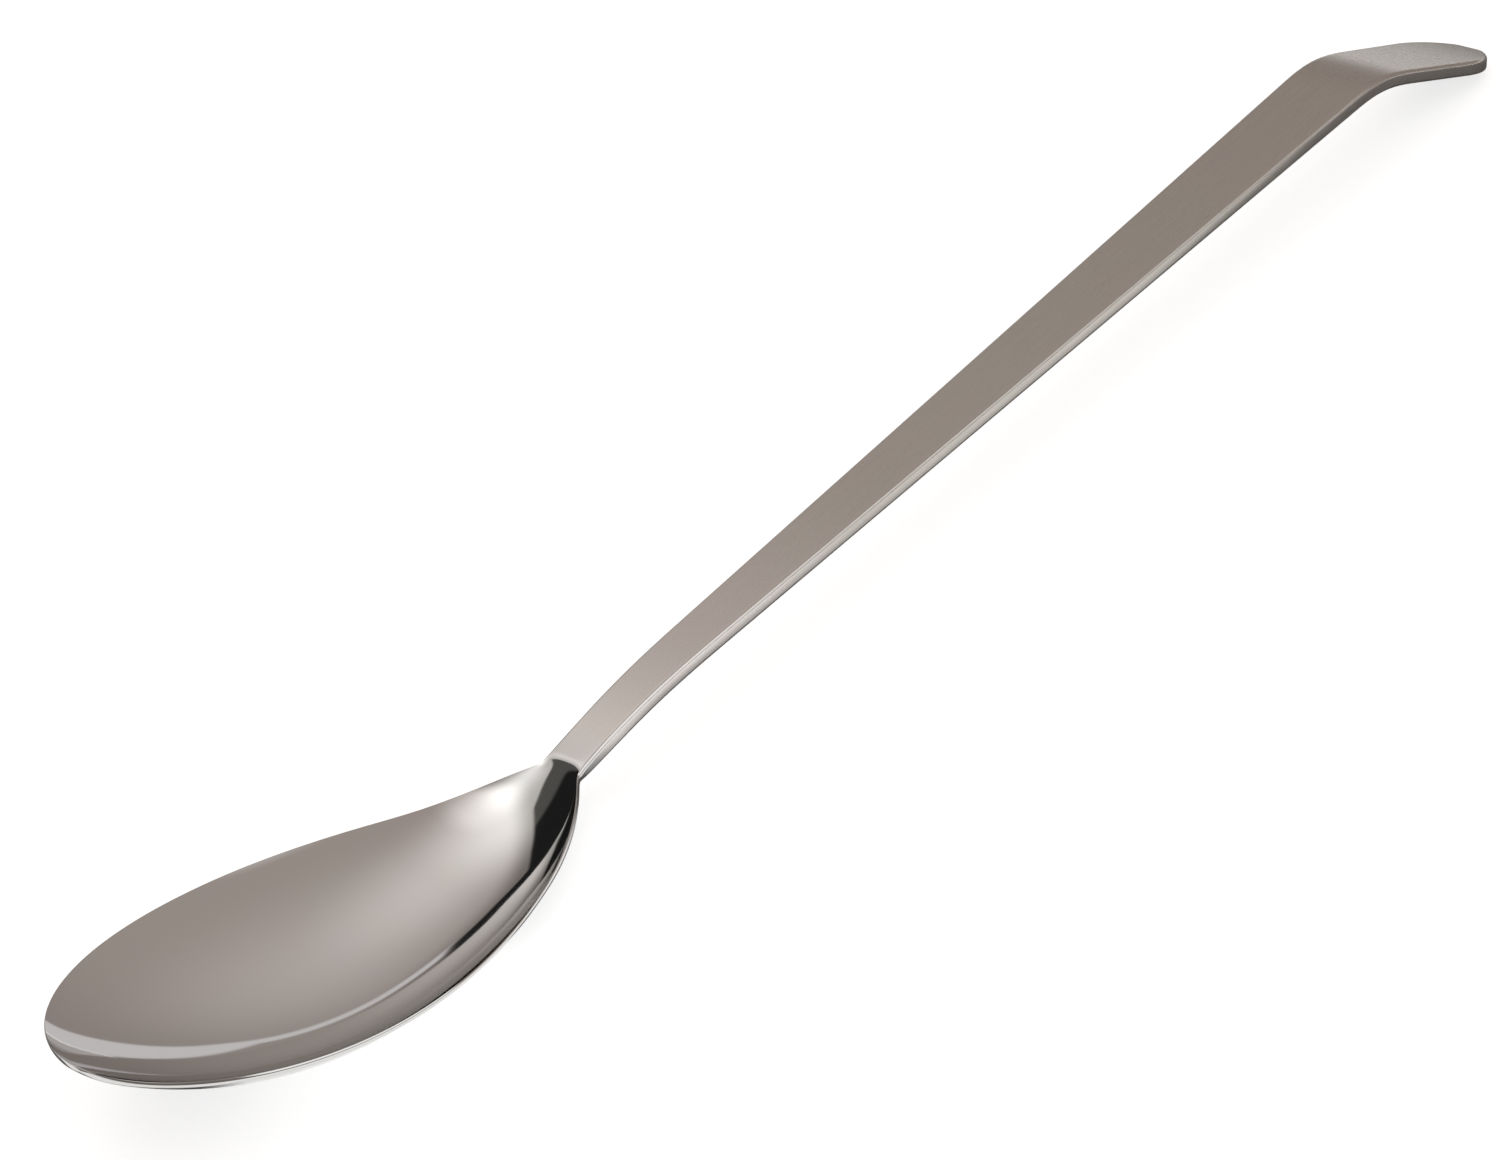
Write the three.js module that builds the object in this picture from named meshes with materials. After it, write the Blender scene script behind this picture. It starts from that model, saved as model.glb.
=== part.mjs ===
// A stainless steel serving spoon: a pressed egg-shaped bowl, a flat bar handle that widens toward
// a hooked end, and the flush weld that joins the two behind the neck.
// Millimetres, +Z up. The spoon lies as it does on a table, on the bowl's belly and the hook's end,
// with its tip toward -X. The origin is on the table, under the middle of the spoon's box.
//
// Every piece is a loft of sections along one curve, the crest, which runs from the tip along the
// level of the rim and up the middle of the handle's top face to the end of the hook.

import * as THREE from "three";

// Bowl
const BOWL_LENGTH = 107; // from the tip to the neck, along the crest
const BOWL_WIDTH = 70; // across the rim where it is widest
const BOWL_DEPTH = 12; // from the rim down to the inside floor
const BOWL_WALL = 1.2; // sheet thickness
const EGG = 0.33; // how far the widest part sits toward the tip, 0 is an ellipse
const FULLNESS = 0.08; // how much rounder than an ellipse the sides are
const WALL_FULLNESS = 0.15; // how much steeper than a parabola the walls reach the rim
const NECK_FULLNESS = 0.85; // the same where the hollow ends at the neck
const NECK_FILLING = 16; // length over which the one grows into the other
const TIP_BIAS = 0.6; // how far the deepest place sits toward the tip, 0 is the middle
const TIP_LIFT = 4.5; // degrees that the rim climbs at the tip

// Neck
const NECK_WIDTH = 9.2; // the narrowest width, where the handle starts
const NECK_CORNER = 3.4; // how sharply the bowl's side turns into the neck
const NECK_RISE = 28; // length over which the rim turns up before the neck
const NECK_SLOPE = 20; // steepest slope, in degrees, reached at the neck
const NECK_EASE = 37; // length over which the slope eases off behind the neck
const FLARE_REACH = 56; // how far before the neck the bowl's sides begin to flare out of it
const HOLLOW_START = 1.6; // how far past the neck the hollow begins
const HOLLOW_LIP = 0.9; // half length of the crisp round where the hollow begins
const BACK_BLEND = 10; // half length of the softer round on the back of the neck

// Handle
const BAR = 2.6; // bar thickness
const HANDLE_SLOPE = 11; // slope of the straight handle against the rim, in degrees
const HANDLE_STRAIGHT = 161; // straight length between the neck and the hook's bend
const END_WIDTH = 20; // width at the end of the hook
const EDGE_RADIUS = 0.7; // round along the edges of the bar
const HOOK_TURN = 29; // degrees that the hook bends down
const HOOK_BEND = 17; // length of the bend
const HOOK_LENGTH = 23; // from the bend to the end
const HOOK_CORNER = 10; // corner radius of the hook's end, seen from above

// Weld
const WELD_CLEAR = 2; // plain bar between the round on the back of the neck and the weld
const WELD_WIDTH = 1.5; // along the handle

// Facets
const BOWL_ACROSS = 22; // strips across the bowl
const BAR_ACROSS = 6; // strips across the bar
const BOWL_STEPS = 40; // steps along the bowl
const LIP_STEPS = 4; // over the round where the hollow begins
const NECK_STEPS = 4; // from there to the weld
const EASE_STEPS = 8; // from the weld to the straight handle
const STRAIGHT_STEPS = 9; // along the straight handle
const BEND_STEPS = 10; // round the hook's bend
const HOOK_STEPS = 3; // from the bend to the end's corners
const CORNER_STEPS = 8; // round the end's corners
const ROUND_STEPS = 3; // steps in a quarter round
const CREST_STEP = 0.25; // step used to measure along the crest
const EDGE_SHARE = 0.45; // largest share of a section's thickness that an edge's round takes

// Places along the crest, measured from the tip
const HOLLOW_END = BOWL_LENGTH + HOLLOW_START;
const LIP_START = HOLLOW_END - HOLLOW_LIP;
const LIP_END = HOLLOW_END + HOLLOW_LIP;
const WELD_START = HOLLOW_END + BACK_BLEND + WELD_CLEAR;
const WELD_END = WELD_START + WELD_WIDTH;
const EASE_END = BOWL_LENGTH + NECK_EASE;
const BEND_START = EASE_END + HANDLE_STRAIGHT;
const BEND_END = BEND_START + HOOK_BEND;
const SPOON_END = BEND_END + HOOK_LENGTH;
const CORNER_START = SPOON_END - HOOK_CORNER;
const END_ROUND = SPOON_END - EDGE_RADIUS;

const radians = THREE.MathUtils.degToRad;

// Evenly spaced places, both ends included
function evenly(start, end, count) {
  return Array.from({ length: count + 1 }, (_, i) => start + ((end - start) * i) / count);
}

// 0 before the start, 1 after the end, with a smooth ease between
function ease(s, start, end) {
  return THREE.MathUtils.smoothstep(s, start, end);
}

// How far a quarter circle has fallen away at a share of its radius
function roundFall(share) {
  return 1 - Math.sqrt(Math.max(0, 1 - share * share));
}

// Slope of the crest: level along the rim, up at the neck, straight, and down at the hook
function slopeAt(s) {
  const tip = -radians(TIP_LIFT) * Math.max(0, 1 - s / (BOWL_LENGTH / 2));
  const rise = radians(NECK_SLOPE) * ease(s, BOWL_LENGTH - NECK_RISE, BOWL_LENGTH);
  const settle = radians(HANDLE_SLOPE - NECK_SLOPE) * ease(s, BOWL_LENGTH, EASE_END);
  const hook = -radians(HOOK_TURN) * ease(s, BEND_START, BEND_END);
  return tip + rise + settle + hook;
}

// The crest as points a short step apart, summed up from its slope
function traceCrest() {
  const points = [new THREE.Vector2(0, 0)];
  const steps = Math.ceil(SPOON_END / CREST_STEP);
  const step = SPOON_END / steps;
  for (let i = 0; i < steps; i++) {
    const slope = slopeAt((i + 0.5) * step);
    const last = points[i];
    points.push(new THREE.Vector2(last.x + step * Math.cos(slope), last.y + step * Math.sin(slope)));
  }
  return { points, step };
}

const crest = traceCrest();

function crestAt(s) {
  const place = THREE.MathUtils.clamp(s / crest.step, 0, crest.points.length - 1);
  const before = Math.min(Math.floor(place), crest.points.length - 2);
  return crest.points[before].clone().lerp(crest.points[before + 1], place - before);
}

// Egg-shaped outline of unit length, by the angle that runs from 0 at the tip to PI at the neck
function eggAt(angle) {
  return Math.sin(angle) * (1 + EGG * Math.cos(angle) - FULLNESS * Math.cos(2 * angle));
}

// Greatest value of a curve between 0 and an end
function peakOf(curve, end, samples = 400) {
  return Math.max(...evenly(0, end, samples).map(curve));
}

const eggScale = BOWL_WIDTH / 2 / peakOf(eggAt, Math.PI);

// Half the width seen from above: the egg runs into the taper of the bar with a rounded corner
function halfWidthAt(s) {
  const along = THREE.MathUtils.clamp(s / BOWL_LENGTH, 0, 1);
  const egg = Math.max(0, eggScale * eggAt(Math.acos(1 - 2 * along)));
  const taper = THREE.MathUtils.mapLinear(
    Math.max(s, BOWL_LENGTH), BOWL_LENGTH, SPOON_END, NECK_WIDTH / 2, END_WIDTH / 2,
  );
  const bar = taper * ease(s, BOWL_LENGTH - FLARE_REACH, BOWL_LENGTH);
  const half = Math.pow(egg ** NECK_CORNER + bar ** NECK_CORNER, 1 / NECK_CORNER);
  const intoCorner = Math.max(0, s - CORNER_START) / HOOK_CORNER;
  return half - HOOK_CORNER * roundFall(intoCorner);
}

// Thickness at the edge: sheet round the bowl, bar from the neck on
function thicknessAt(s) {
  return THREE.MathUtils.lerp(BOWL_WALL, BAR, ease(s, BOWL_LENGTH - NECK_RISE, HOLLOW_END));
}

function edgeRoundAt(s) {
  return Math.min(EDGE_RADIUS, EDGE_SHARE * thicknessAt(s));
}

// How much the two faces draw together in the round at the tip and at the end of the hook
function closingAt(s) {
  const round = edgeRoundAt(s);
  const toEnd = Math.max(0, Math.min(s, SPOON_END - s));
  return round * roundFall(Math.max(0, 1 - toEnd / round));
}

// Profile of the hollow along the crest, from 0 where it begins at the neck to 1 at the tip
function floorAt(share) {
  return share * (1 - share) * (1 + TIP_BIAS * (share - 0.5));
}

const floorScale = BOWL_DEPTH / peakOf(floorAt, 1);

// Depth of the hollow below the crest. The reach is half the length of the round where it begins.
function hollowAt(s, reach) {
  const inside = THREE.MathUtils.clamp(HOLLOW_END - s, -reach, HOLLOW_END);
  const run = inside < reach ? (inside + reach) ** 2 / (4 * reach) : inside;
  return floorScale * floorAt(run / HOLLOW_END);
}

// How much fuller than a parabola a section of the hollow is
function fullnessAt(s) {
  return THREE.MathUtils.lerp(
    WALL_FULLNESS, NECK_FULLNESS, ease(s, HOLLOW_END - NECK_FILLING, HOLLOW_END),
  );
}

// Middle line of a section, a parabola made fuller, at a place across it, from 1 on the left to -1 on
// the right: the point, the way up out of it and half the thickness there
function middleLine(s, across) {
  const half = halfWidthAt(s) - edgeRoundAt(s);
  const inner = hollowAt(s, HOLLOW_LIP);
  const outer = hollowAt(s, BACK_BLEND);
  const square = across * across;
  const full = fullnessAt(s);
  const share = (1 - square) * (1 + full * square);
  const steepness = 2 * across * (1 + full * (2 * square - 1));
  const fall = (inner + outer) / 2;
  const tilt = Math.atan2(fall * steepness, half);
  const point = new THREE.Vector2(half * across, -thicknessAt(s) / 2 - fall * share);
  const up = new THREE.Vector2(Math.sin(tilt), Math.cos(tilt));
  const thick = thicknessAt(s) / 2 - closingAt(s) + ((outer - inner) / 2) * share;
  return { point, up, thick };
}

// Round on one edge of a section, from the top face over the edge to the back.
// The side is 1 on the left and -1 on the right.
function edgeRound(s, side) {
  const { point, up, thick } = middleLine(s, side);
  const out = new THREE.Vector2(up.y * side, -up.x * side);
  const round = Math.min(edgeRoundAt(s), EDGE_SHARE * 2 * thick);
  const points = [];
  for (const face of [1, -1]) {
    for (let i = 0; i < ROUND_STEPS; i++) {
      const step = face === 1 ? i + 1 : ROUND_STEPS - i;
      const angle = (Math.PI / 2) * (1 - step / ROUND_STEPS);
      const lift = face * (thick - round + round * Math.sin(angle));
      points.push(point.clone().addScaledVector(up, lift).addScaledVector(out, round * Math.cos(angle)));
    }
  }
  return points;
}

// Closed section: the top face left to right, the right edge, the back, and the left edge
function sectionAt(s, strips) {
  const top = [];
  const back = [];
  for (let i = 0; i <= strips; i++) {
    const { point, up, thick } = middleLine(s, 1 - (2 * i) / strips);
    top.push(point.clone().addScaledVector(up, thick));
    back.unshift(point.clone().addScaledVector(up, -thick));
  }
  return [...top, ...edgeRound(s, -1), ...back, ...edgeRound(s, 1).reverse()];
}

// The section stood up across the crest, as points in space
function ringAt(s, strips) {
  const foot = crestAt(s);
  const slope = slopeAt(s);
  return sectionAt(s, strips).map(
    (p) => new THREE.Vector3(foot.x - p.y * Math.sin(slope), p.x, foot.y + p.y * Math.cos(slope)),
  );
}

// Places that crowd toward both ends, as the bowl's curves do
function crowded(start, end, count) {
  return evenly(0, Math.PI, count).map((angle) => start + ((end - start) * (1 - Math.cos(angle))) / 2);
}

// Places that crowd toward the end, as in a quarter round
function closing(start, end, count) {
  return evenly(0, Math.PI / 2, count).map((angle) => start + (end - start) * Math.sin(angle));
}

// The first place, at the tip itself, is left out: the section has no width there
const bowlStations = [
  ...crowded(0, LIP_START, BOWL_STEPS).slice(1),
  ...evenly(LIP_START, LIP_END, LIP_STEPS).slice(1),
  ...evenly(LIP_END, WELD_START, NECK_STEPS).slice(1),
];

const handleStations = [
  ...evenly(WELD_END, EASE_END, EASE_STEPS),
  ...evenly(EASE_END, BEND_START, STRAIGHT_STEPS).slice(1),
  ...evenly(BEND_START, BEND_END, BEND_STEPS).slice(1),
  ...evenly(BEND_END, CORNER_START, HOOK_STEPS).slice(1),
  ...closing(CORNER_START, END_ROUND, CORNER_STEPS).slice(1),
  ...closing(END_ROUND, SPOON_END, ROUND_STEPS).slice(1),
];

const rings = {
  bowl: bowlStations.map((s) => ringAt(s, BOWL_ACROSS)),
  neck_weld: evenly(WELD_START, WELD_END, 1).map((s) => ringAt(s, BAR_ACROSS)),
  handle: handleStations.map((s) => ringAt(s, BAR_ACROSS)),
};

// The spoon tips back on its belly until the hook meets the table: the slope of the line that
// touches both from below
function restTilt() {
  const belly = rings.bowl.flat();
  const slopeTo = (end) => Math.max(...belly.map((p) => (end.z - p.z) / (end.x - p.x)));
  return Math.atan(Math.min(...rings.handle.flat().map(slopeTo)));
}

const turn = new THREE.Matrix4().makeRotationY(restTilt());
const points = Object.values(rings).flat(2);
points.forEach((point) => point.applyMatrix4(turn));
const box = new THREE.Box3().setFromPoints(points);
const origin = new THREE.Vector3((box.min.x + box.max.x) / 2, 0, box.min.z);
points.forEach((point) => point.sub(origin));

// Skin over a row of rings, closed by a fan at each end
function loft(row) {
  const size = row[0].length;
  const vertices = row.flat();
  const faces = [];
  for (let r = 0; r + 1 < row.length; r++) {
    for (let i = 0; i < size; i++) {
      const a = r * size + i;
      const b = r * size + ((i + 1) % size);
      faces.push(a, b, a + size, b, b + size, a + size);
    }
  }
  const ends = [row[0], row[row.length - 1]];
  ends.forEach((ring, which) => {
    const middle = new THREE.Vector3();
    ring.forEach((p) => middle.addScaledVector(p, 1 / size));
    vertices.push(middle);
    const start = which === 0 ? 0 : (row.length - 1) * size;
    for (let i = 0; i < size; i++) {
      const edge = [start + i, start + ((i + 1) % size)];
      if (which === 0) edge.reverse();
      faces.push(...edge, vertices.length - 1);
    }
  });
  const geometry = new THREE.BufferGeometry().setFromPoints(vertices);
  geometry.setIndex(faces);
  geometry.computeVertexNormals();
  return geometry;
}

function steel(color, roughness) {
  return new THREE.MeshStandardMaterial({ color, roughness, metalness: 1 });
}

const finishes = {
  bowl: steel(0xa8a29c, 0.1),
  neck_weld: steel(0xa39b94, 0.22),
  handle: steel(0xa39b94, 0.22),
};

const spoon = new THREE.Group();
for (const [name, row] of Object.entries(rings)) {
  const mesh = new THREE.Mesh(loft(row), finishes[name]);
  mesh.name = name;
  spoon.add(mesh);
}

export default spoon;
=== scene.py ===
"""A stainless steel serving spoon on a white table, under a light tent.

The three pieces are the part's own lofts with finer steps, so that polished steel has a smooth
surface to reflect in. Sizes are in metres, and angles in degrees.
"""
from math import acos, atan, atan2, ceil, cos, pi, radians, sin, sqrt

import bpy
import numpy as np
from mathutils import Matrix, Vector


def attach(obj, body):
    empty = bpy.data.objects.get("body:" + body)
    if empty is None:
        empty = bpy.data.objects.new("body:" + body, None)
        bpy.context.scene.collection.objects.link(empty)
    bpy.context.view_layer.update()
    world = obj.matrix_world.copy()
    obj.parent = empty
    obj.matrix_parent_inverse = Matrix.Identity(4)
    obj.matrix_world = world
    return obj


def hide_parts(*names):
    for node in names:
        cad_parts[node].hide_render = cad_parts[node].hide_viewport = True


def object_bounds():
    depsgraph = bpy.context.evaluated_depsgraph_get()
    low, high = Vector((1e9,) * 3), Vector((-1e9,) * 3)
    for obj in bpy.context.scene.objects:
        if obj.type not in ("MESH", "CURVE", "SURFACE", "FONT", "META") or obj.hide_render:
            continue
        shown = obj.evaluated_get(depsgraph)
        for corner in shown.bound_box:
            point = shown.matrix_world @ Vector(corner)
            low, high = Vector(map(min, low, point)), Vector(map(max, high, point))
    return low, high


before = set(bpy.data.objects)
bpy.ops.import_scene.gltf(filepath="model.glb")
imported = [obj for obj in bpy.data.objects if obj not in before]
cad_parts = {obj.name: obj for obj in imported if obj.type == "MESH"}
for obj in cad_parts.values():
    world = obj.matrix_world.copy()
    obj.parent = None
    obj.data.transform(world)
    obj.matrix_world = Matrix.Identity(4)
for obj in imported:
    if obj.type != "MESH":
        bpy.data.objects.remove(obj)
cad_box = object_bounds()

# Bowl
BOWL_LENGTH = 0.107  # from the tip to the neck, along the crest
BOWL_WIDTH = 0.070  # across the rim where it is widest
BOWL_DEPTH = 0.012  # from the rim down to the inside floor
BOWL_WALL = 0.0012  # sheet thickness
EGG = 0.33  # how far the widest part sits toward the tip, 0 is an ellipse
FULLNESS = 0.08  # how much rounder than an ellipse the sides are
WALL_FULLNESS = 0.15  # how much steeper than a parabola the walls reach the rim
NECK_FULLNESS = 0.85  # the same where the hollow ends at the neck
NECK_FILLING = 0.016  # length over which the one grows into the other
TIP_BIAS = 0.6  # how far the deepest place sits toward the tip, 0 is the middle
TIP_LIFT = 4.5  # angle at which the rim climbs at the tip

# Neck
NECK_WIDTH = 0.0092  # the narrowest width, where the handle starts
NECK_CORNER = 3.4  # how sharply the bowl's side turns into the neck
NECK_RISE = 0.028  # length over which the rim turns up before the neck
NECK_SLOPE = 20  # steepest slope, reached at the neck
NECK_EASE = 0.037  # length over which the slope eases off behind the neck
FLARE_REACH = 0.056  # how far before the neck the bowl's sides begin to flare out of it
HOLLOW_START = 0.0016  # how far past the neck the hollow begins
HOLLOW_LIP = 0.0009  # half length of the crisp round where the hollow begins
BACK_BLEND = 0.010  # half length of the softer round on the back of the neck

# Handle
BAR = 0.0026  # bar thickness
HANDLE_SLOPE = 11  # slope of the straight handle against the rim
HANDLE_STRAIGHT = 0.161  # straight length between the neck and the hook's bend
END_WIDTH = 0.020  # width at the end of the hook
EDGE_RADIUS = 0.0007  # round along the edges of the bar
HOOK_TURN = 29  # angle that the hook bends down
HOOK_BEND = 0.017  # length of the bend
HOOK_LENGTH = 0.023  # from the bend to the end
HOOK_CORNER = 0.010  # corner radius of the hook's end, seen from above

# Weld
WELD_CLEAR = 0.002  # plain bar between the round on the back of the neck and the weld
WELD_WIDTH = 0.0015  # along the handle

# Steps of the lofts
BOWL_ACROSS = 96
BAR_ACROSS = 24
BOWL_STEPS = 200
LIP_STEPS = 30
NECK_STEPS = 24
WELD_STEPS = 4
EASE_STEPS = 48
STRAIGHT_STEPS = 60
BEND_STEPS = 60
HOOK_STEPS = 16
CORNER_STEPS = 32
ROUND_STEPS = 6
CREST_STEP = 0.0001
PEAK_STEPS = 400  # steps in which the peak of a curve is looked for
EDGE_SHARE = 0.45  # largest share of a section's thickness that an edge's round takes
SHARP_ANGLE = 50  # edges that turn more than this stay sharp

# Places along the crest, measured from the tip
HOLLOW_END = BOWL_LENGTH + HOLLOW_START
LIP_START = HOLLOW_END - HOLLOW_LIP
LIP_END = HOLLOW_END + HOLLOW_LIP
WELD_START = HOLLOW_END + BACK_BLEND + WELD_CLEAR
WELD_END = WELD_START + WELD_WIDTH
EASE_END = BOWL_LENGTH + NECK_EASE
BEND_START = EASE_END + HANDLE_STRAIGHT
BEND_END = BEND_START + HOOK_BEND
SPOON_END = BEND_END + HOOK_LENGTH
CORNER_START = SPOON_END - HOOK_CORNER
END_ROUND = SPOON_END - EDGE_RADIUS

# Steel. A tone is a colour, a polish is a roughness, and a run is a stretch of X.
WHITE = (1, 1, 1, 1)
BOWL_TONE = (0.64, 0.64, 0.64, 1)
NECK_TONE = (0.715, 0.70, 0.685, 1)
# darker than the neck's: painted shade toward the hook
HOOK_TONE_PAINTED_SHADE = (0.537, 0.518, 0.488, 1)
GRAZING_TINT = (0.9, 0.9, 0.9, 1)  # share of bare steel's reflection at a grazing angle
BOWL_POLISH = 0.05
NECK_POLISH = 0.26
HOOK_POLISH = 0.30
NECK_RUN = (-0.061, -0.055)  # where the bowl's mirror turns into the neck's satin
HANDLE_RUN = (-0.055, 0.020)  # where the neck's tone turns into the hook's darker one, which is painted shade
BOWL_GRAIN = (300, 900, 900)  # streaks in a metre along X, Y and Z
HANDLE_GRAIN = (60, 2500, 2500)
GRAIN_EDGE = (0.25, 0.75)  # values of the noise between which a streak goes from smooth to rough
GRAIN_ROUGHNESS = (0.85, 1.15)  # what the smoothest and the roughest streak multiply the polish by
GRAIN_STRENGTH = 0.04
GRAIN_DEPTH = 0.00002
PATCH_SCALE = 35  # faint patches of tint in a metre
PATCH_EDGE = (0.35, 0.65)
PATCH_TINTS = [(1.0, 0.98, 0.975, 1), (0.985, 0.985, 0.965, 1)]
NOISE_DETAIL = 3.0

# Camera
IMAGE_WIDTH, IMAGE_HEIGHT = 1500, 1160
SENSOR_WIDTH = 36  # millimetres
CAMERA_AZIMUTH = 58.41  # the way the camera looks, from +X toward +Y
CAMERA_DROP = 31.79  # how far it looks down
CAMERA_ROLL = -21.89
CAMERA_DISTANCE = 1.514
PIXELS_PER_METRE = 5788  # at the middle of the spoon
MIDDLE_PIXEL = (814.4, 536.1)  # where the middle of the spoon's box shows

# Table
FLOOR_SIZE = 8
FLOOR_GLOW = 0.75  # the share of its white that shadows leave alone
FLOOR_SHADE = 0.6  # the share that light and shadow make
FLOOR_FAR = (0.24, 0.36)  # how far out it goes over to plain white

# Light tent round the spoon. A direction is (azimuth from +X toward +Y, elevation), an axis is square
# to an edge, an edge is the start and the end of a fade along its axis, heights are shares of the
# tent's, and a colour is the light that the cloth gives off.
TENT_RADIUS = 0.5
TENT_SEGMENTS = 96
TENT_RINGS = 48
CLOTH_LOW = (0.368, 0.321, 0.296, 1)
CLOTH_HIGH = (0.463, 0.404, 0.371, 1)
CLOTH_HEIGHTS = (0.0, 0.9)  # where the one colour turns into the other
LAMPS = [
    {"toward": (90, 51), "reach": 0.61, "light": 0.22},
    {"toward": (130, 47), "reach": 0.69, "light": 0.86},
    {"toward": (159, 53), "reach": 0.87, "light": 1.35},
]
LAMP_FALL = 2.0  # how fast a lamp fades toward its reach, which is a cosine
DUSK = 0.49  # how much darker the cloth is beside the flag
DUSK_AXIS = (0.806, -0.257, 0.533)
DUSK_EDGE = (0.17, 0.0)

# Black flag on the far side, with a slanting edge and a foot that reaches further
FLAG_LOW = (0.016, 0.016, 0.016, 1)
FLAG_HIGH = (0.108, 0.105, 0.100, 1)
FLAG_HEIGHTS = (0.585, 0.625)  # where the one colour turns into the other
FLAG_AXIS = (0.781, -0.582, 0.227)
FLAG_EDGE = (-0.405, -0.425)
FLAG_TOP = (0.71, 0.69)  # heights of its upper edge
FLAG_MIDDLE = (45, 0)  # it ends a right angle away from here
FLAG_END = (-0.05, 0.05)
FLAG_CORNER = (167.15, 0)  # square to the right end of its foot
FLAG_CORNER_EDGE = (-0.008, 0.008)
FLAG_FOOT = (0.28, 0.255)  # heights of its foot's upper edge

# White card low on the far side: a bent strip that ends where the flag's foot begins
CARD = (0.76, 0.735, 0.74, 1)
CARD_RIGHT = (115, 0)  # square to its right end
CARD_END = (-0.03, 0.03)
CARD_TOP_AXIS = (0.63, 0.0, 1.0)  # its upper edge slants first and then runs level
CARD_TOP_EDGE = (0.612, 0.582)
CARD_TOP = (0.30, 0.27)  # heights of the level part
CARD_FOOT_AXIS = (1.96, 0.0, 1.0)  # and so does its lower edge
CARD_FOOT_EDGE = (1.06, 1.12)
CARD_FOOT = (0.225, 0.245)

# Soft panel on the near side
FILL = (1.2, 1.2, 1.2, 1)
FILL_MIDDLE = (-90, 32)
FILL_EDGE = (0.73, 0.80)
FILL_FOOT = (0.2, 0.4)  # heights of its lower edge

# Painted shadow: a dark sheet on the table, which only the steel shows, in place of the spoon's shadow
# there. Its far edge is straight, and its near edge fades out round these places, as (x, y).
SHADOW_SHEET_NEAR = [
    (-0.19, -0.010), (-0.163, -0.020), (-0.145, 0.004), (-0.106, 0.004), (-0.090, -0.034),
    (-0.062, -0.009), (-0.036, -0.021), (0.03, -0.0195), (0.09, -0.0235), (0.135, -0.040),
    (0.15, -0.085), (0.19, -0.13),
]
SHADOW_SHEET_FAR = 0.40
SHADOW_SHEET_SOFT = 0.014  # width of the fade along its near edge
SHADOW_SHEET_LIFT = 0.0002  # how far above the table it lies
# painted shadow, darkest near the spoon and paler further back
SHADOW_SHEET_TONES = [(0.3, 0.3, 0.3, 1), (0.9, 0.9, 0.9, 1)]
SHADOW_SHEET_FADE = (0.08, 0.18)  # how far back it goes from the first tone to the second

# Sockets of a mix node that take and give colours
MIX_FIRST = 6
MIX_SECOND = 7
MIX_RESULT = 2


def clamp(value, low, high):
    return min(high, max(low, value))


def ease(s, start, end):
    """0 before the start, 1 after the end, with a smooth ease between."""
    share = clamp((s - start) / (end - start), 0, 1)
    return share * share * (3 - 2 * share)


def round_fall(share):
    """How far a quarter circle has fallen away at a share of its radius."""
    return 1 - sqrt(max(0, 1 - share * share))


def slope_at(s):
    """Slope of the crest: level along the rim, up at the neck, straight, and down at the hook."""
    tip = -radians(TIP_LIFT) * max(0, 1 - s / (BOWL_LENGTH / 2))
    rise = radians(NECK_SLOPE) * ease(s, BOWL_LENGTH - NECK_RISE, BOWL_LENGTH)
    settle = radians(HANDLE_SLOPE - NECK_SLOPE) * ease(s, BOWL_LENGTH, EASE_END)
    hook = -radians(HOOK_TURN) * ease(s, BEND_START, BEND_END)
    return tip + rise + settle + hook


def trace_crest():
    """The crest as places along it and their points, summed up from its slope."""
    count = ceil(SPOON_END / CREST_STEP)
    places = np.linspace(0, SPOON_END, count + 1)
    slopes = np.array([slope_at(s) for s in (places[1:] + places[:-1]) / 2])
    along = np.concatenate([[0], np.cumsum(np.cos(slopes))]) * places[1]
    height = np.concatenate([[0], np.cumsum(np.sin(slopes))]) * places[1]
    return places, along, height


crest = trace_crest()


def egg_at(angle):
    """Egg-shaped outline of unit length, by the angle from 0 at the tip to pi at the neck."""
    return sin(angle) * (1 + EGG * cos(angle) - FULLNESS * cos(2 * angle))


def floor_at(share):
    """Profile of the hollow along the crest, from 0 where it begins at the neck to 1 at the tip."""
    return share * (1 - share) * (1 + TIP_BIAS * (share - 0.5))


def peak_of(curve, end):
    """The largest value of a curve between 0 and the end."""
    return max(curve(end * i / PEAK_STEPS) for i in range(PEAK_STEPS + 1))


egg_scale = BOWL_WIDTH / 2 / peak_of(egg_at, pi)
floor_scale = BOWL_DEPTH / peak_of(floor_at, 1)


def half_width_at(s):
    """Half the width seen from above: the egg runs into the taper of the bar."""
    egg = max(0, egg_scale * egg_at(acos(1 - 2 * clamp(s / BOWL_LENGTH, 0, 1))))
    share = (max(s, BOWL_LENGTH) - BOWL_LENGTH) / (SPOON_END - BOWL_LENGTH)
    taper = (NECK_WIDTH + (END_WIDTH - NECK_WIDTH) * share) / 2
    bar = taper * ease(s, BOWL_LENGTH - FLARE_REACH, BOWL_LENGTH)
    half = (egg**NECK_CORNER + bar**NECK_CORNER) ** (1 / NECK_CORNER)
    return half - HOOK_CORNER * round_fall(max(0, s - CORNER_START) / HOOK_CORNER)


def thickness_at(s):
    """Thickness at the edge: sheet round the bowl, bar from the neck on."""
    return BOWL_WALL + (BAR - BOWL_WALL) * ease(s, BOWL_LENGTH - NECK_RISE, HOLLOW_END)


def edge_round_at(s):
    return min(EDGE_RADIUS, EDGE_SHARE * thickness_at(s))


def closing_at(s):
    """How much the two faces draw together in the round at the tip and at the hook's end."""
    edge = edge_round_at(s)
    to_end = max(0, min(s, SPOON_END - s))
    return edge * round_fall(max(0, 1 - to_end / edge))


def hollow_at(s, reach):
    """Depth of the hollow below the crest. The reach is half the length of its round at the neck."""
    inside = clamp(HOLLOW_END - s, -reach, HOLLOW_END)
    run = (inside + reach) ** 2 / (4 * reach) if inside < reach else inside
    return floor_scale * floor_at(run / HOLLOW_END)


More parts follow.
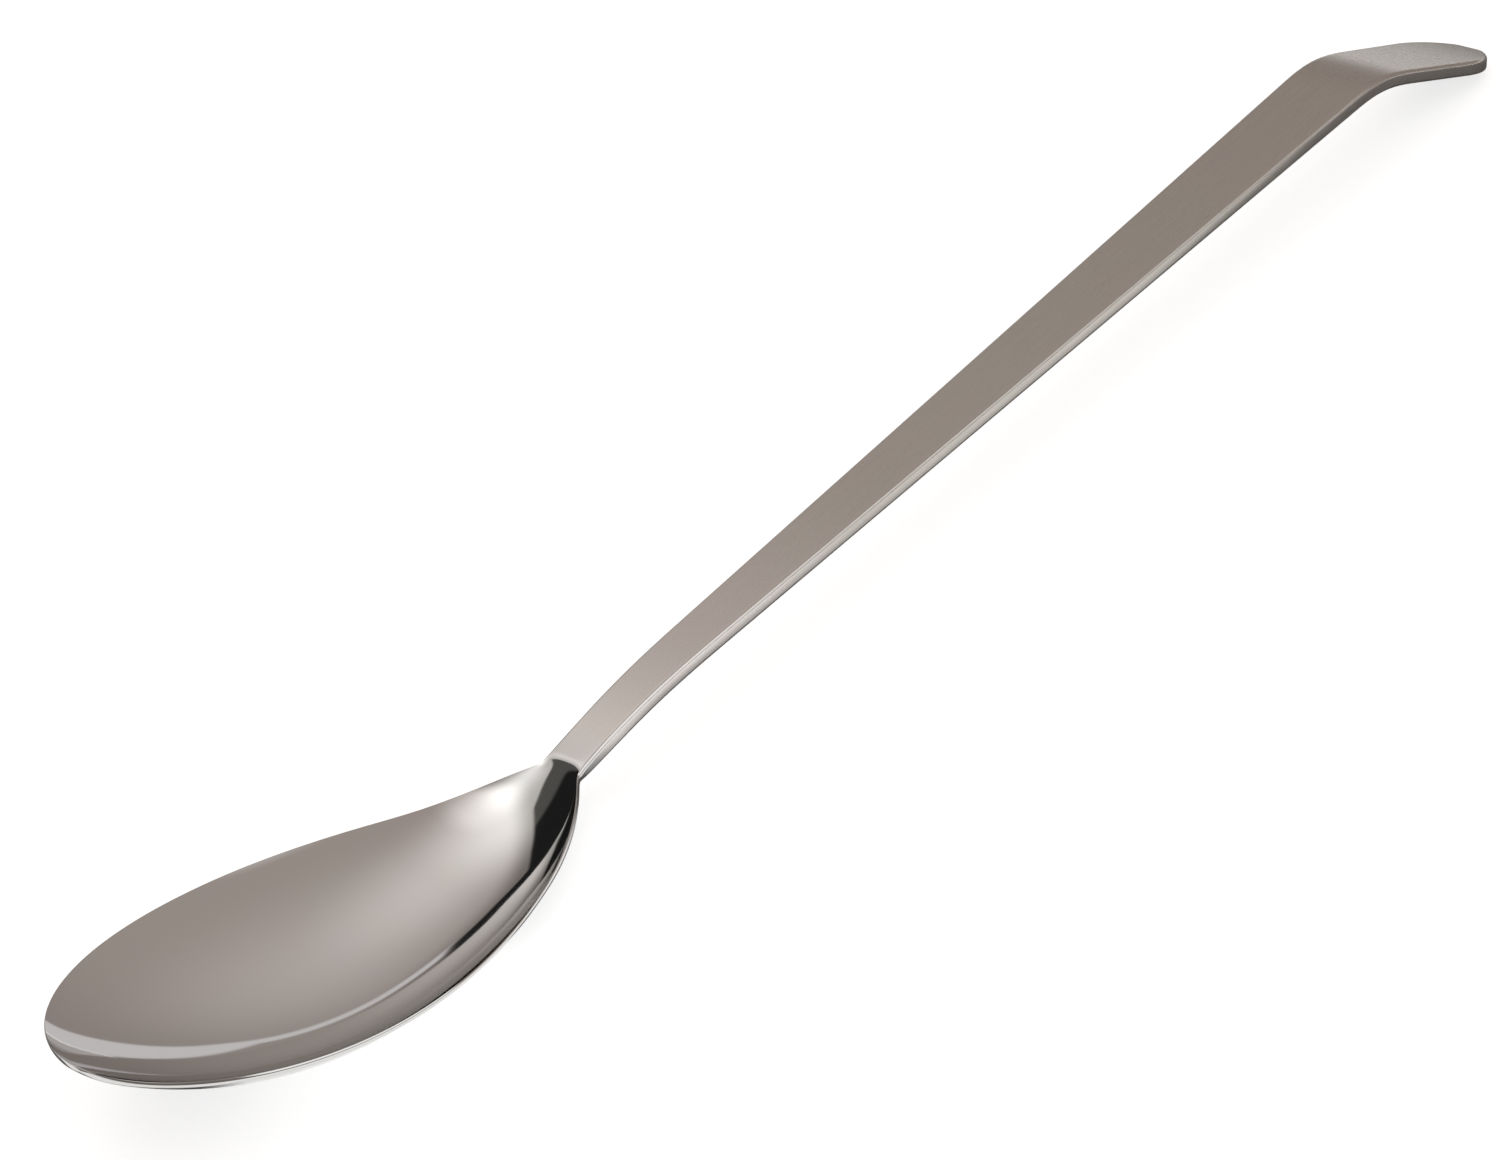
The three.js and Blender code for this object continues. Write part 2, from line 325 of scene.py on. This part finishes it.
def fullness_at(s):
    """How much fuller than a parabola a section of the hollow is."""
    share = ease(s, HOLLOW_END - NECK_FILLING, HOLLOW_END)
    return WALL_FULLNESS + (NECK_FULLNESS - WALL_FULLNESS) * share


def middle_line(s, across):
    """The section's middle line at a place across it, the way up out of it and half its thickness."""
    half = half_width_at(s) - edge_round_at(s)
    inner = hollow_at(s, HOLLOW_LIP)
    outer = hollow_at(s, BACK_BLEND)
    square = across * across
    full = fullness_at(s)
    share = (1 - square) * (1 + full * square)
    steepness = 2 * across * (1 + full * (2 * square - 1))
    fall = (inner + outer) / 2
    tilt = atan2(fall * steepness, half)
    point = np.array([half * across, -thickness_at(s) / 2 - fall * share])
    up = np.array([sin(tilt), cos(tilt)])
    thick = thickness_at(s) / 2 - closing_at(s) + (outer - inner) / 2 * share
    return point, up, thick


def edge_round(s, side):
    """Round on one edge, from the top face over the edge to the back: 1 is left and -1 is right."""
    point, up, thick = middle_line(s, side)
    out = np.array([up[1], -up[0]]) * side
    radius = min(edge_round_at(s), EDGE_SHARE * 2 * thick)
    rise = [(1, step) for step in range(1, ROUND_STEPS + 1)]
    fall = [(-1, step) for step in range(ROUND_STEPS, 0, -1)]
    points = []
    for face, step in rise + fall:
        angle = pi / 2 * (1 - step / ROUND_STEPS)
        lift = face * (thick - radius + radius * sin(angle))
        points.append(point + up * lift + out * radius * cos(angle))
    return points


def section_at(s, strips):
    """Closed section: the top face left to right, the right edge, the back, and the left edge."""
    top, back = [], []
    for i in range(strips + 1):
        point, up, thick = middle_line(s, 1 - 2 * i / strips)
        top.append(point + up * thick)
        back.append(point - up * thick)
    return top + edge_round(s, -1) + back[::-1] + edge_round(s, 1)[::-1]


def ring_at(s, strips):
    """The section stood up across the crest, as points in space."""
    x = np.interp(s, crest[0], crest[1])
    z = np.interp(s, crest[0], crest[2])
    slope = slope_at(s)
    section = np.array(section_at(s, strips))
    return np.column_stack(
        [x - section[:, 1] * sin(slope), section[:, 0], z + section[:, 1] * cos(slope)]
    )


def evenly(start, end, count):
    return np.linspace(start, end, count + 1)


def crowded(start, end, count):
    """Places that crowd toward both ends, as the bowl's curves do."""
    return start + (end - start) * (1 - np.cos(evenly(0, pi, count))) / 2


def closing(start, end, count):
    """Places that crowd toward the end, as in a quarter round."""
    return start + (end - start) * np.sin(evenly(0, pi / 2, count))


def joined(*runs):
    """Runs of places that follow on from each other, with each shared end kept once."""
    return np.concatenate([runs[0]] + [run[1:] for run in runs[1:]])


bowl_places = joined(
    crowded(0, LIP_START, BOWL_STEPS)[1:],
    evenly(LIP_START, LIP_END, LIP_STEPS),
    evenly(LIP_END, WELD_START, NECK_STEPS),
)
handle_places = joined(
    evenly(WELD_END, EASE_END, EASE_STEPS),
    evenly(EASE_END, BEND_START, STRAIGHT_STEPS),
    evenly(BEND_START, BEND_END, BEND_STEPS),
    evenly(BEND_END, CORNER_START, HOOK_STEPS),
    closing(CORNER_START, END_ROUND, CORNER_STEPS),
    closing(END_ROUND, SPOON_END, ROUND_STEPS),
)
lofts = {
    "bowl": np.array([ring_at(s, BOWL_ACROSS) for s in bowl_places]),
    "neck_weld": np.array(
        [ring_at(s, BAR_ACROSS) for s in evenly(WELD_START, WELD_END, WELD_STEPS)]
    ),
    "handle": np.array([ring_at(s, BAR_ACROSS) for s in handle_places]),
}


def keel(name, strips):
    """The line along the middle of a loft's back."""
    return lofts[name][:, strips + 1 + 2 * ROUND_STEPS + strips // 2]


def rest_tilt():
    """The slope of the line that touches the bowl's belly and the hook from below."""
    belly = keel("bowl", BOWL_ACROSS)
    slopes = [
        np.max((end[2] - belly[:, 2]) / (end[0] - belly[:, 0]))
        for end in keel("handle", BAR_ACROSS)
    ]
    return atan(min(slopes))


def lay_down():
    """Tips the spoon back until it lies on its belly and its hook, inside the part's own box."""
    turn = np.array(Matrix.Rotation(rest_tilt(), 3, "Y"))
    for name in lofts:
        lofts[name] = lofts[name] @ turn.T
    points = np.concatenate([rings.reshape(-1, 3) for rings in lofts.values()])
    low, high = points.min(0), points.max(0)
    middle = (Vector(cad_box[0]) + Vector(cad_box[1])) / 2
    shift = [middle.x - (low[0] + high[0]) / 2, middle.y, cad_box[0][2] - low[2]]
    for name in lofts:
        lofts[name] = lofts[name] + shift


def add_mesh(name, points, faces, material):
    """An object of one material, in the scene."""
    mesh = bpy.data.meshes.new(name)
    mesh.from_pydata(points, [], faces)
    mesh.materials.append(material)
    thing = bpy.data.objects.new(name, mesh)
    bpy.context.scene.collection.objects.link(thing)
    return thing


def loft_piece(name, material):
    """Skin over a row of rings, closed at both ends, in place of the node it is named after."""
    rings = lofts[name]
    rows, size = rings.shape[:2]
    faces = []
    for row in range(rows - 1):
        for i in range(size):
            a = row * size + i
            b = row * size + (i + 1) % size
            faces.append((a, b, b + size, a + size))
    faces.append(tuple(range(size))[::-1])
    faces.append(tuple(range((rows - 1) * size, rows * size)))
    piece = add_mesh(name + "_surface", rings.reshape(-1, 3).tolist(), faces, material)
    piece.data.shade_smooth()
    piece.data.set_sharp_from_angle(angle=radians(SHARP_ANGLE))
    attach(piece, "root")
    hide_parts(name)
    return piece


class Nodes:
    """A short way to add shader nodes and join them up."""

    def __init__(self, tree):
        self.tree = tree
        tree.nodes.clear()

    def add(self, kind, inputs=None, **settings):
        node = self.tree.nodes.new(kind)
        for key, value in settings.items():
            setattr(node, key, value)
        for key, value in (inputs or {}).items():
            if isinstance(value, bpy.types.NodeSocket):
                self.tree.links.new(value, node.inputs[key])
            else:
                node.inputs[key].default_value = value
        return node

    def place(self):
        """The place on the object."""
        return self.add("ShaderNodeTexCoord").outputs["Object"]

    def math(self, operation, *values):
        return self.add("ShaderNodeMath", dict(enumerate(values)), operation=operation).outputs[0]

    def dot(self, vector, direction):
        node = self.add(
            "ShaderNodeVectorMath", {0: vector, 1: direction}, operation="DOT_PRODUCT"
        )
        return node.outputs["Value"]

    def fade(self, value, start, end, low=0.0, high=1.0):
        """A smooth step from low at the start to high at the end."""
        inputs = {"Value": value, "From Min": start, "From Max": end, "To Min": low, "To Max": high}
        node = self.add("ShaderNodeMapRange", inputs, interpolation_type="SMOOTHSTEP")
        return node.outputs["Result"]

    def blend(self, share, first, second):
        inputs = {"Factor": share, MIX_FIRST: first, MIX_SECOND: second}
        return self.add("ShaderNodeMix", inputs, data_type="RGBA").outputs[MIX_RESULT]

    def multiply(self, first, second):
        inputs = {"Factor": 1.0, MIX_FIRST: first, MIX_SECOND: second}
        node = self.add("ShaderNodeMix", inputs, data_type="RGBA", blend_type="MULTIPLY")
        return node.outputs[MIX_RESULT]

    def glow(self, color, strength=1.0):
        return self.add("ShaderNodeEmission", {"Color": color, "Strength": strength}).outputs[0]

    def cover(self, share, under, over):
        """The shader under, hidden by the shader over where the share is 1."""
        return self.add("ShaderNodeMixShader", {0: share, 1: under, 2: over}).outputs[0]

    def sum(self, first, second):
        """Two shaders, one added to the other."""
        return self.add("ShaderNodeAddShader", {0: first, 1: second}).outputs[0]

    def noise(self, vector, scale=1.0):
        inputs = {"Vector": vector, "Scale": scale, "Detail": NOISE_DETAIL}
        return self.add("ShaderNodeTexNoise", inputs).outputs["Fac"]


def new_material(name):
    """A material and its nodes, still empty."""
    material = bpy.data.materials.new(name)
    material.use_nodes = True
    return material, Nodes(material.node_tree)


def steel(name, tones, polish, run, grain):
    """Stainless steel. Its tone and its roughness go from the first to the second along a run of X."""
    material, nodes = new_material(name)
    place = nodes.place()
    along = nodes.fade(nodes.dot(place, (1, 0, 0)), *run)
    patches = nodes.fade(nodes.noise(place, PATCH_SCALE), *PATCH_EDGE)
    tint = nodes.blend(patches, *PATCH_TINTS)
    color = nodes.multiply(nodes.blend(along, *tones), tint)
    streaks = nodes.add("ShaderNodeMapping", {"Vector": place, "Scale": grain}).outputs[0]
    fine = nodes.noise(streaks)
    even = nodes.fade(along, 0, 1, *polish)
    roughness = nodes.math("MULTIPLY", even, nodes.fade(fine, *GRAIN_EDGE, *GRAIN_ROUGHNESS))
    bump = nodes.add(
        "ShaderNodeBump", {"Strength": GRAIN_STRENGTH, "Distance": GRAIN_DEPTH, "Height": fine}
    )
    shader = nodes.add(
        "ShaderNodeBsdfPrincipled",
        {
            "Base Color": color,
            "Metallic": 1.0,
            "Roughness": roughness,
            "Specular Tint": GRAZING_TINT,
            "Normal": bump.outputs[0],
        },
    )
    nodes.add("ShaderNodeOutputMaterial", {"Surface": shader.outputs[0]})
    return material


def toward(azimuth, elevation):
    """A unit direction: azimuth from +X toward +Y, elevation up from the table."""
    a, e = radians(azimuth), radians(elevation)
    return Vector((cos(e) * cos(a), cos(e) * sin(a), sin(e)))


def add_camera():
    """Stands where the photograph was taken: the middle of the box falls on its pixel."""
    view = toward(CAMERA_AZIMUTH, -CAMERA_DROP)
    level = Vector((sin(radians(CAMERA_AZIMUTH)), -cos(radians(CAMERA_AZIMUTH)), 0))
    roll = Matrix.Rotation(radians(-CAMERA_ROLL), 3, view)
    right = roll @ level
    up = right.cross(view)
    middle = (Vector(cad_box[0]) + Vector(cad_box[1])) / 2
    across = (MIDDLE_PIXEL[0] - IMAGE_WIDTH / 2) / PIXELS_PER_METRE
    down = (MIDDLE_PIXEL[1] - IMAGE_HEIGHT / 2) / PIXELS_PER_METRE
    data = bpy.data.cameras.new("camera")
    data.sensor_fit = "HORIZONTAL"
    data.sensor_width = SENSOR_WIDTH
    data.lens = SENSOR_WIDTH * PIXELS_PER_METRE * CAMERA_DISTANCE / IMAGE_WIDTH
    camera = bpy.data.objects.new("camera", data)
    axes = Matrix((right, up, -view)).transposed()
    place = middle - view * CAMERA_DISTANCE - right * across + up * down
    camera.matrix_world = Matrix.Translation(place) @ axes.to_4x4()
    bpy.context.scene.collection.objects.link(camera)
    bpy.context.scene.camera = camera


def add_floor():
    """A white table. Part of its white is its own, so that the shadow on it stays light."""
    half = FLOOR_SIZE / 2
    corners = [(-half, -half, 0), (half, -half, 0), (half, half, 0), (-half, half, 0)]
    material, nodes = new_material("floor_white")
    path = nodes.add("ShaderNodeLightPath").outputs
    seen = nodes.math("MAXIMUM", path["Is Camera Ray"], path["Is Glossy Ray"])
    seen = nodes.math("MAXIMUM", seen, path["Is Transmission Ray"])
    glow = nodes.glow(WHITE, nodes.math("MULTIPLY", seen, FLOOR_GLOW))
    shade = nodes.add("ShaderNodeBsdfDiffuse", {"Color": (FLOOR_SHADE,) * 3 + (1,)})
    both = nodes.sum(glow, shade.outputs[0])
    length = nodes.add("ShaderNodeVectorMath", {0: nodes.place()}, operation="LENGTH")
    distance = length.outputs["Value"]
    surface = nodes.cover(nodes.fade(distance, *FLOOR_FAR), both, nodes.glow(WHITE, seen))
    nodes.add("ShaderNodeOutputMaterial", {"Surface": surface})
    material.cycles.emission_sampling = "NONE"
    floor = add_mesh("floor", corners, [(0, 1, 2, 3)], material)
    floor.location.z = cad_box[0][2]


def lamp_light(nodes, way, lamp):
    """How much a lamp behind the cloth lights it along a way."""
    inward = nodes.dot(way, toward(*lamp["toward"]))
    share = nodes.add("ShaderNodeMapRange", {"Value": inward, "From Min": lamp["reach"]})
    beam = nodes.math("POWER", share.outputs["Result"], LAMP_FALL)
    return nodes.math("MULTIPLY", beam, lamp["light"])


def card_share(nodes, way, height):
    """1 on the white card and 0 beside it."""
    right = nodes.fade(nodes.dot(way, toward(*CARD_RIGHT)), *CARD_END)
    left = nodes.fade(nodes.dot(way, toward(*FLAG_CORNER)), *reversed(FLAG_CORNER_EDGE))
    top_slant = nodes.fade(nodes.dot(way, CARD_TOP_AXIS), *CARD_TOP_EDGE)
    below = nodes.math("MULTIPLY", top_slant, nodes.fade(height, *CARD_TOP))
    foot_slant = nodes.fade(nodes.dot(way, CARD_FOOT_AXIS), *CARD_FOOT_EDGE)
    above = nodes.math("MAXIMUM", foot_slant, nodes.fade(height, *CARD_FOOT))
    across = nodes.math("MULTIPLY", right, left)
    return nodes.math("MULTIPLY", across, nodes.math("MULTIPLY", below, above))


def fill_share(nodes, way, height):
    """1 on the soft panel and 0 beside it."""
    disc = nodes.fade(nodes.dot(way, toward(*FILL_MIDDLE)), *FILL_EDGE)
    return nodes.math("MULTIPLY", disc, nodes.fade(height, *FILL_FOOT))


def flag_share(nodes, way, height):
    """1 on the black flag and 0 beside it."""
    slant = nodes.fade(nodes.dot(way, FLAG_AXIS), *FLAG_EDGE)
    upper = nodes.math("MULTIPLY", slant, nodes.fade(height, *FLAG_TOP))
    corner = nodes.fade(nodes.dot(way, toward(*FLAG_CORNER)), *FLAG_CORNER_EDGE)
    foot = nodes.math("MULTIPLY", corner, nodes.fade(height, *FLAG_FOOT))
    within = nodes.fade(nodes.dot(way, toward(*FLAG_MIDDLE)), *FLAG_END)
    return nodes.math("MULTIPLY", nodes.math("MAXIMUM", upper, foot), within)


def tent_light(nodes, way):
    """The light of the tent's inside along a way out from its middle."""
    height = nodes.dot(way, (0, 0, 1))
    day = nodes.fade(nodes.dot(way, DUSK_AXIS), *DUSK_EDGE, 1, 1 - DUSK)
    cloth = nodes.blend(nodes.fade(height, *CLOTH_HEIGHTS), CLOTH_LOW, CLOTH_HIGH)
    light = nodes.glow(cloth, day)
    for lamp in LAMPS:
        strength = nodes.math("MULTIPLY", lamp_light(nodes, way, lamp), day)
        light = nodes.sum(light, nodes.glow(WHITE, strength))
    light = nodes.cover(card_share(nodes, way, height), light, nodes.glow(CARD))
    light = nodes.cover(fill_share(nodes, way, height), light, nodes.glow(FILL))
    black = nodes.blend(nodes.fade(height, *FLAG_HEIGHTS), FLAG_LOW, FLAG_HIGH)
    return nodes.cover(flag_share(nodes, way, height), light, nodes.glow(black))


def add_tent():
    """A round tent of cloth that lights the spoon and shows only in its steel."""
    bpy.ops.mesh.primitive_uv_sphere_add(
        segments=TENT_SEGMENTS, ring_count=TENT_RINGS, radius=TENT_RADIUS
    )
    tent = bpy.context.object
    tent.name = "tent"
    tent.data.shade_smooth()
    tent.visible_camera = False
    material, nodes = new_material("tent_cloth")
    way = nodes.add("ShaderNodeVectorMath", {0: nodes.place()}, operation="NORMALIZE").outputs[0]
    nodes.add("ShaderNodeOutputMaterial", {"Surface": tent_light(nodes, way)})
    material.cycles.emission_sampling = "NONE"
    tent.data.materials.append(material)


def add_shadow_sheet():
    """A dark sheet that shows only in the steel, as painted shadow, so that its lower edges stand out
    from the table.
    """
    height = cad_box[0][2] + SHADOW_SHEET_LIFT
    near = [(x, y - SHADOW_SHEET_SOFT / 2, height) for x, y in SHADOW_SHEET_NEAR]
    inner = [(x, y + SHADOW_SHEET_SOFT / 2, height) for x, y in SHADOW_SHEET_NEAR]
    far = [(x, SHADOW_SHEET_FAR, height) for x, _ in SHADOW_SHEET_NEAR]
    count = len(SHADOW_SHEET_NEAR)
    starts = [row * count + i for row in range(2) for i in range(count - 1)]
    faces = [(a, a + 1, a + 1 + count, a + count) for a in starts]
    material, nodes = new_material("painted_shadow_sheet")
    back = nodes.fade(nodes.dot(nodes.place(), (0, 1, 0)), *SHADOW_SHEET_FADE)
    matt = nodes.add("ShaderNodeBsdfDiffuse", {"Color": nodes.blend(back, *SHADOW_SHEET_TONES)})
    share = nodes.add("ShaderNodeAttribute", attribute_name="opacity").outputs["Fac"]
    clear = nodes.add("ShaderNodeBsdfTransparent")
    surface = nodes.cover(share, clear.outputs[0], matt.outputs[0])
    nodes.add("ShaderNodeOutputMaterial", {"Surface": surface})
    shadow_sheet = add_mesh("painted_shadow_sheet", near + inner + far, faces, material)
    opacity = shadow_sheet.data.attributes.new("opacity", "FLOAT", "POINT")
    opacity.data.foreach_set("value", [0.0] * len(near) + [1.0] * len(inner + far))
    shadow_sheet.visible_camera = False
    shadow_sheet.visible_diffuse = False
    shadow_sheet.visible_shadow = False


def add_world():
    """A plain white room outside the tent."""
    world = bpy.data.worlds.new("room")
    world.use_nodes = True
    nodes = Nodes(world.node_tree)
    white = nodes.add("ShaderNodeBackground", {"Color": WHITE, "Strength": 1.0})
    nodes.add("ShaderNodeOutputWorld", {"Surface": white.outputs[0]})
    bpy.context.scene.world = world


add_camera()
lay_down()
polished = steel(
    "polished_steel", [BOWL_TONE, NECK_TONE], [BOWL_POLISH, NECK_POLISH], NECK_RUN, BOWL_GRAIN
)
# the handle's tone darkens toward the hook as painted shade
satin = steel(
    "satin_steel", [NECK_TONE, HOOK_TONE_PAINTED_SHADE], [NECK_POLISH, HOOK_POLISH], HANDLE_RUN, HANDLE_GRAIN
)
loft_piece("bowl", polished)
loft_piece("neck_weld", satin)
loft_piece("handle", satin)
add_floor()
# painted shadow of the spoon on the table, seen only in the steel
add_shadow_sheet()
add_tent()
add_world()

view = bpy.context.scene.view_settings
view.view_transform = "Standard"
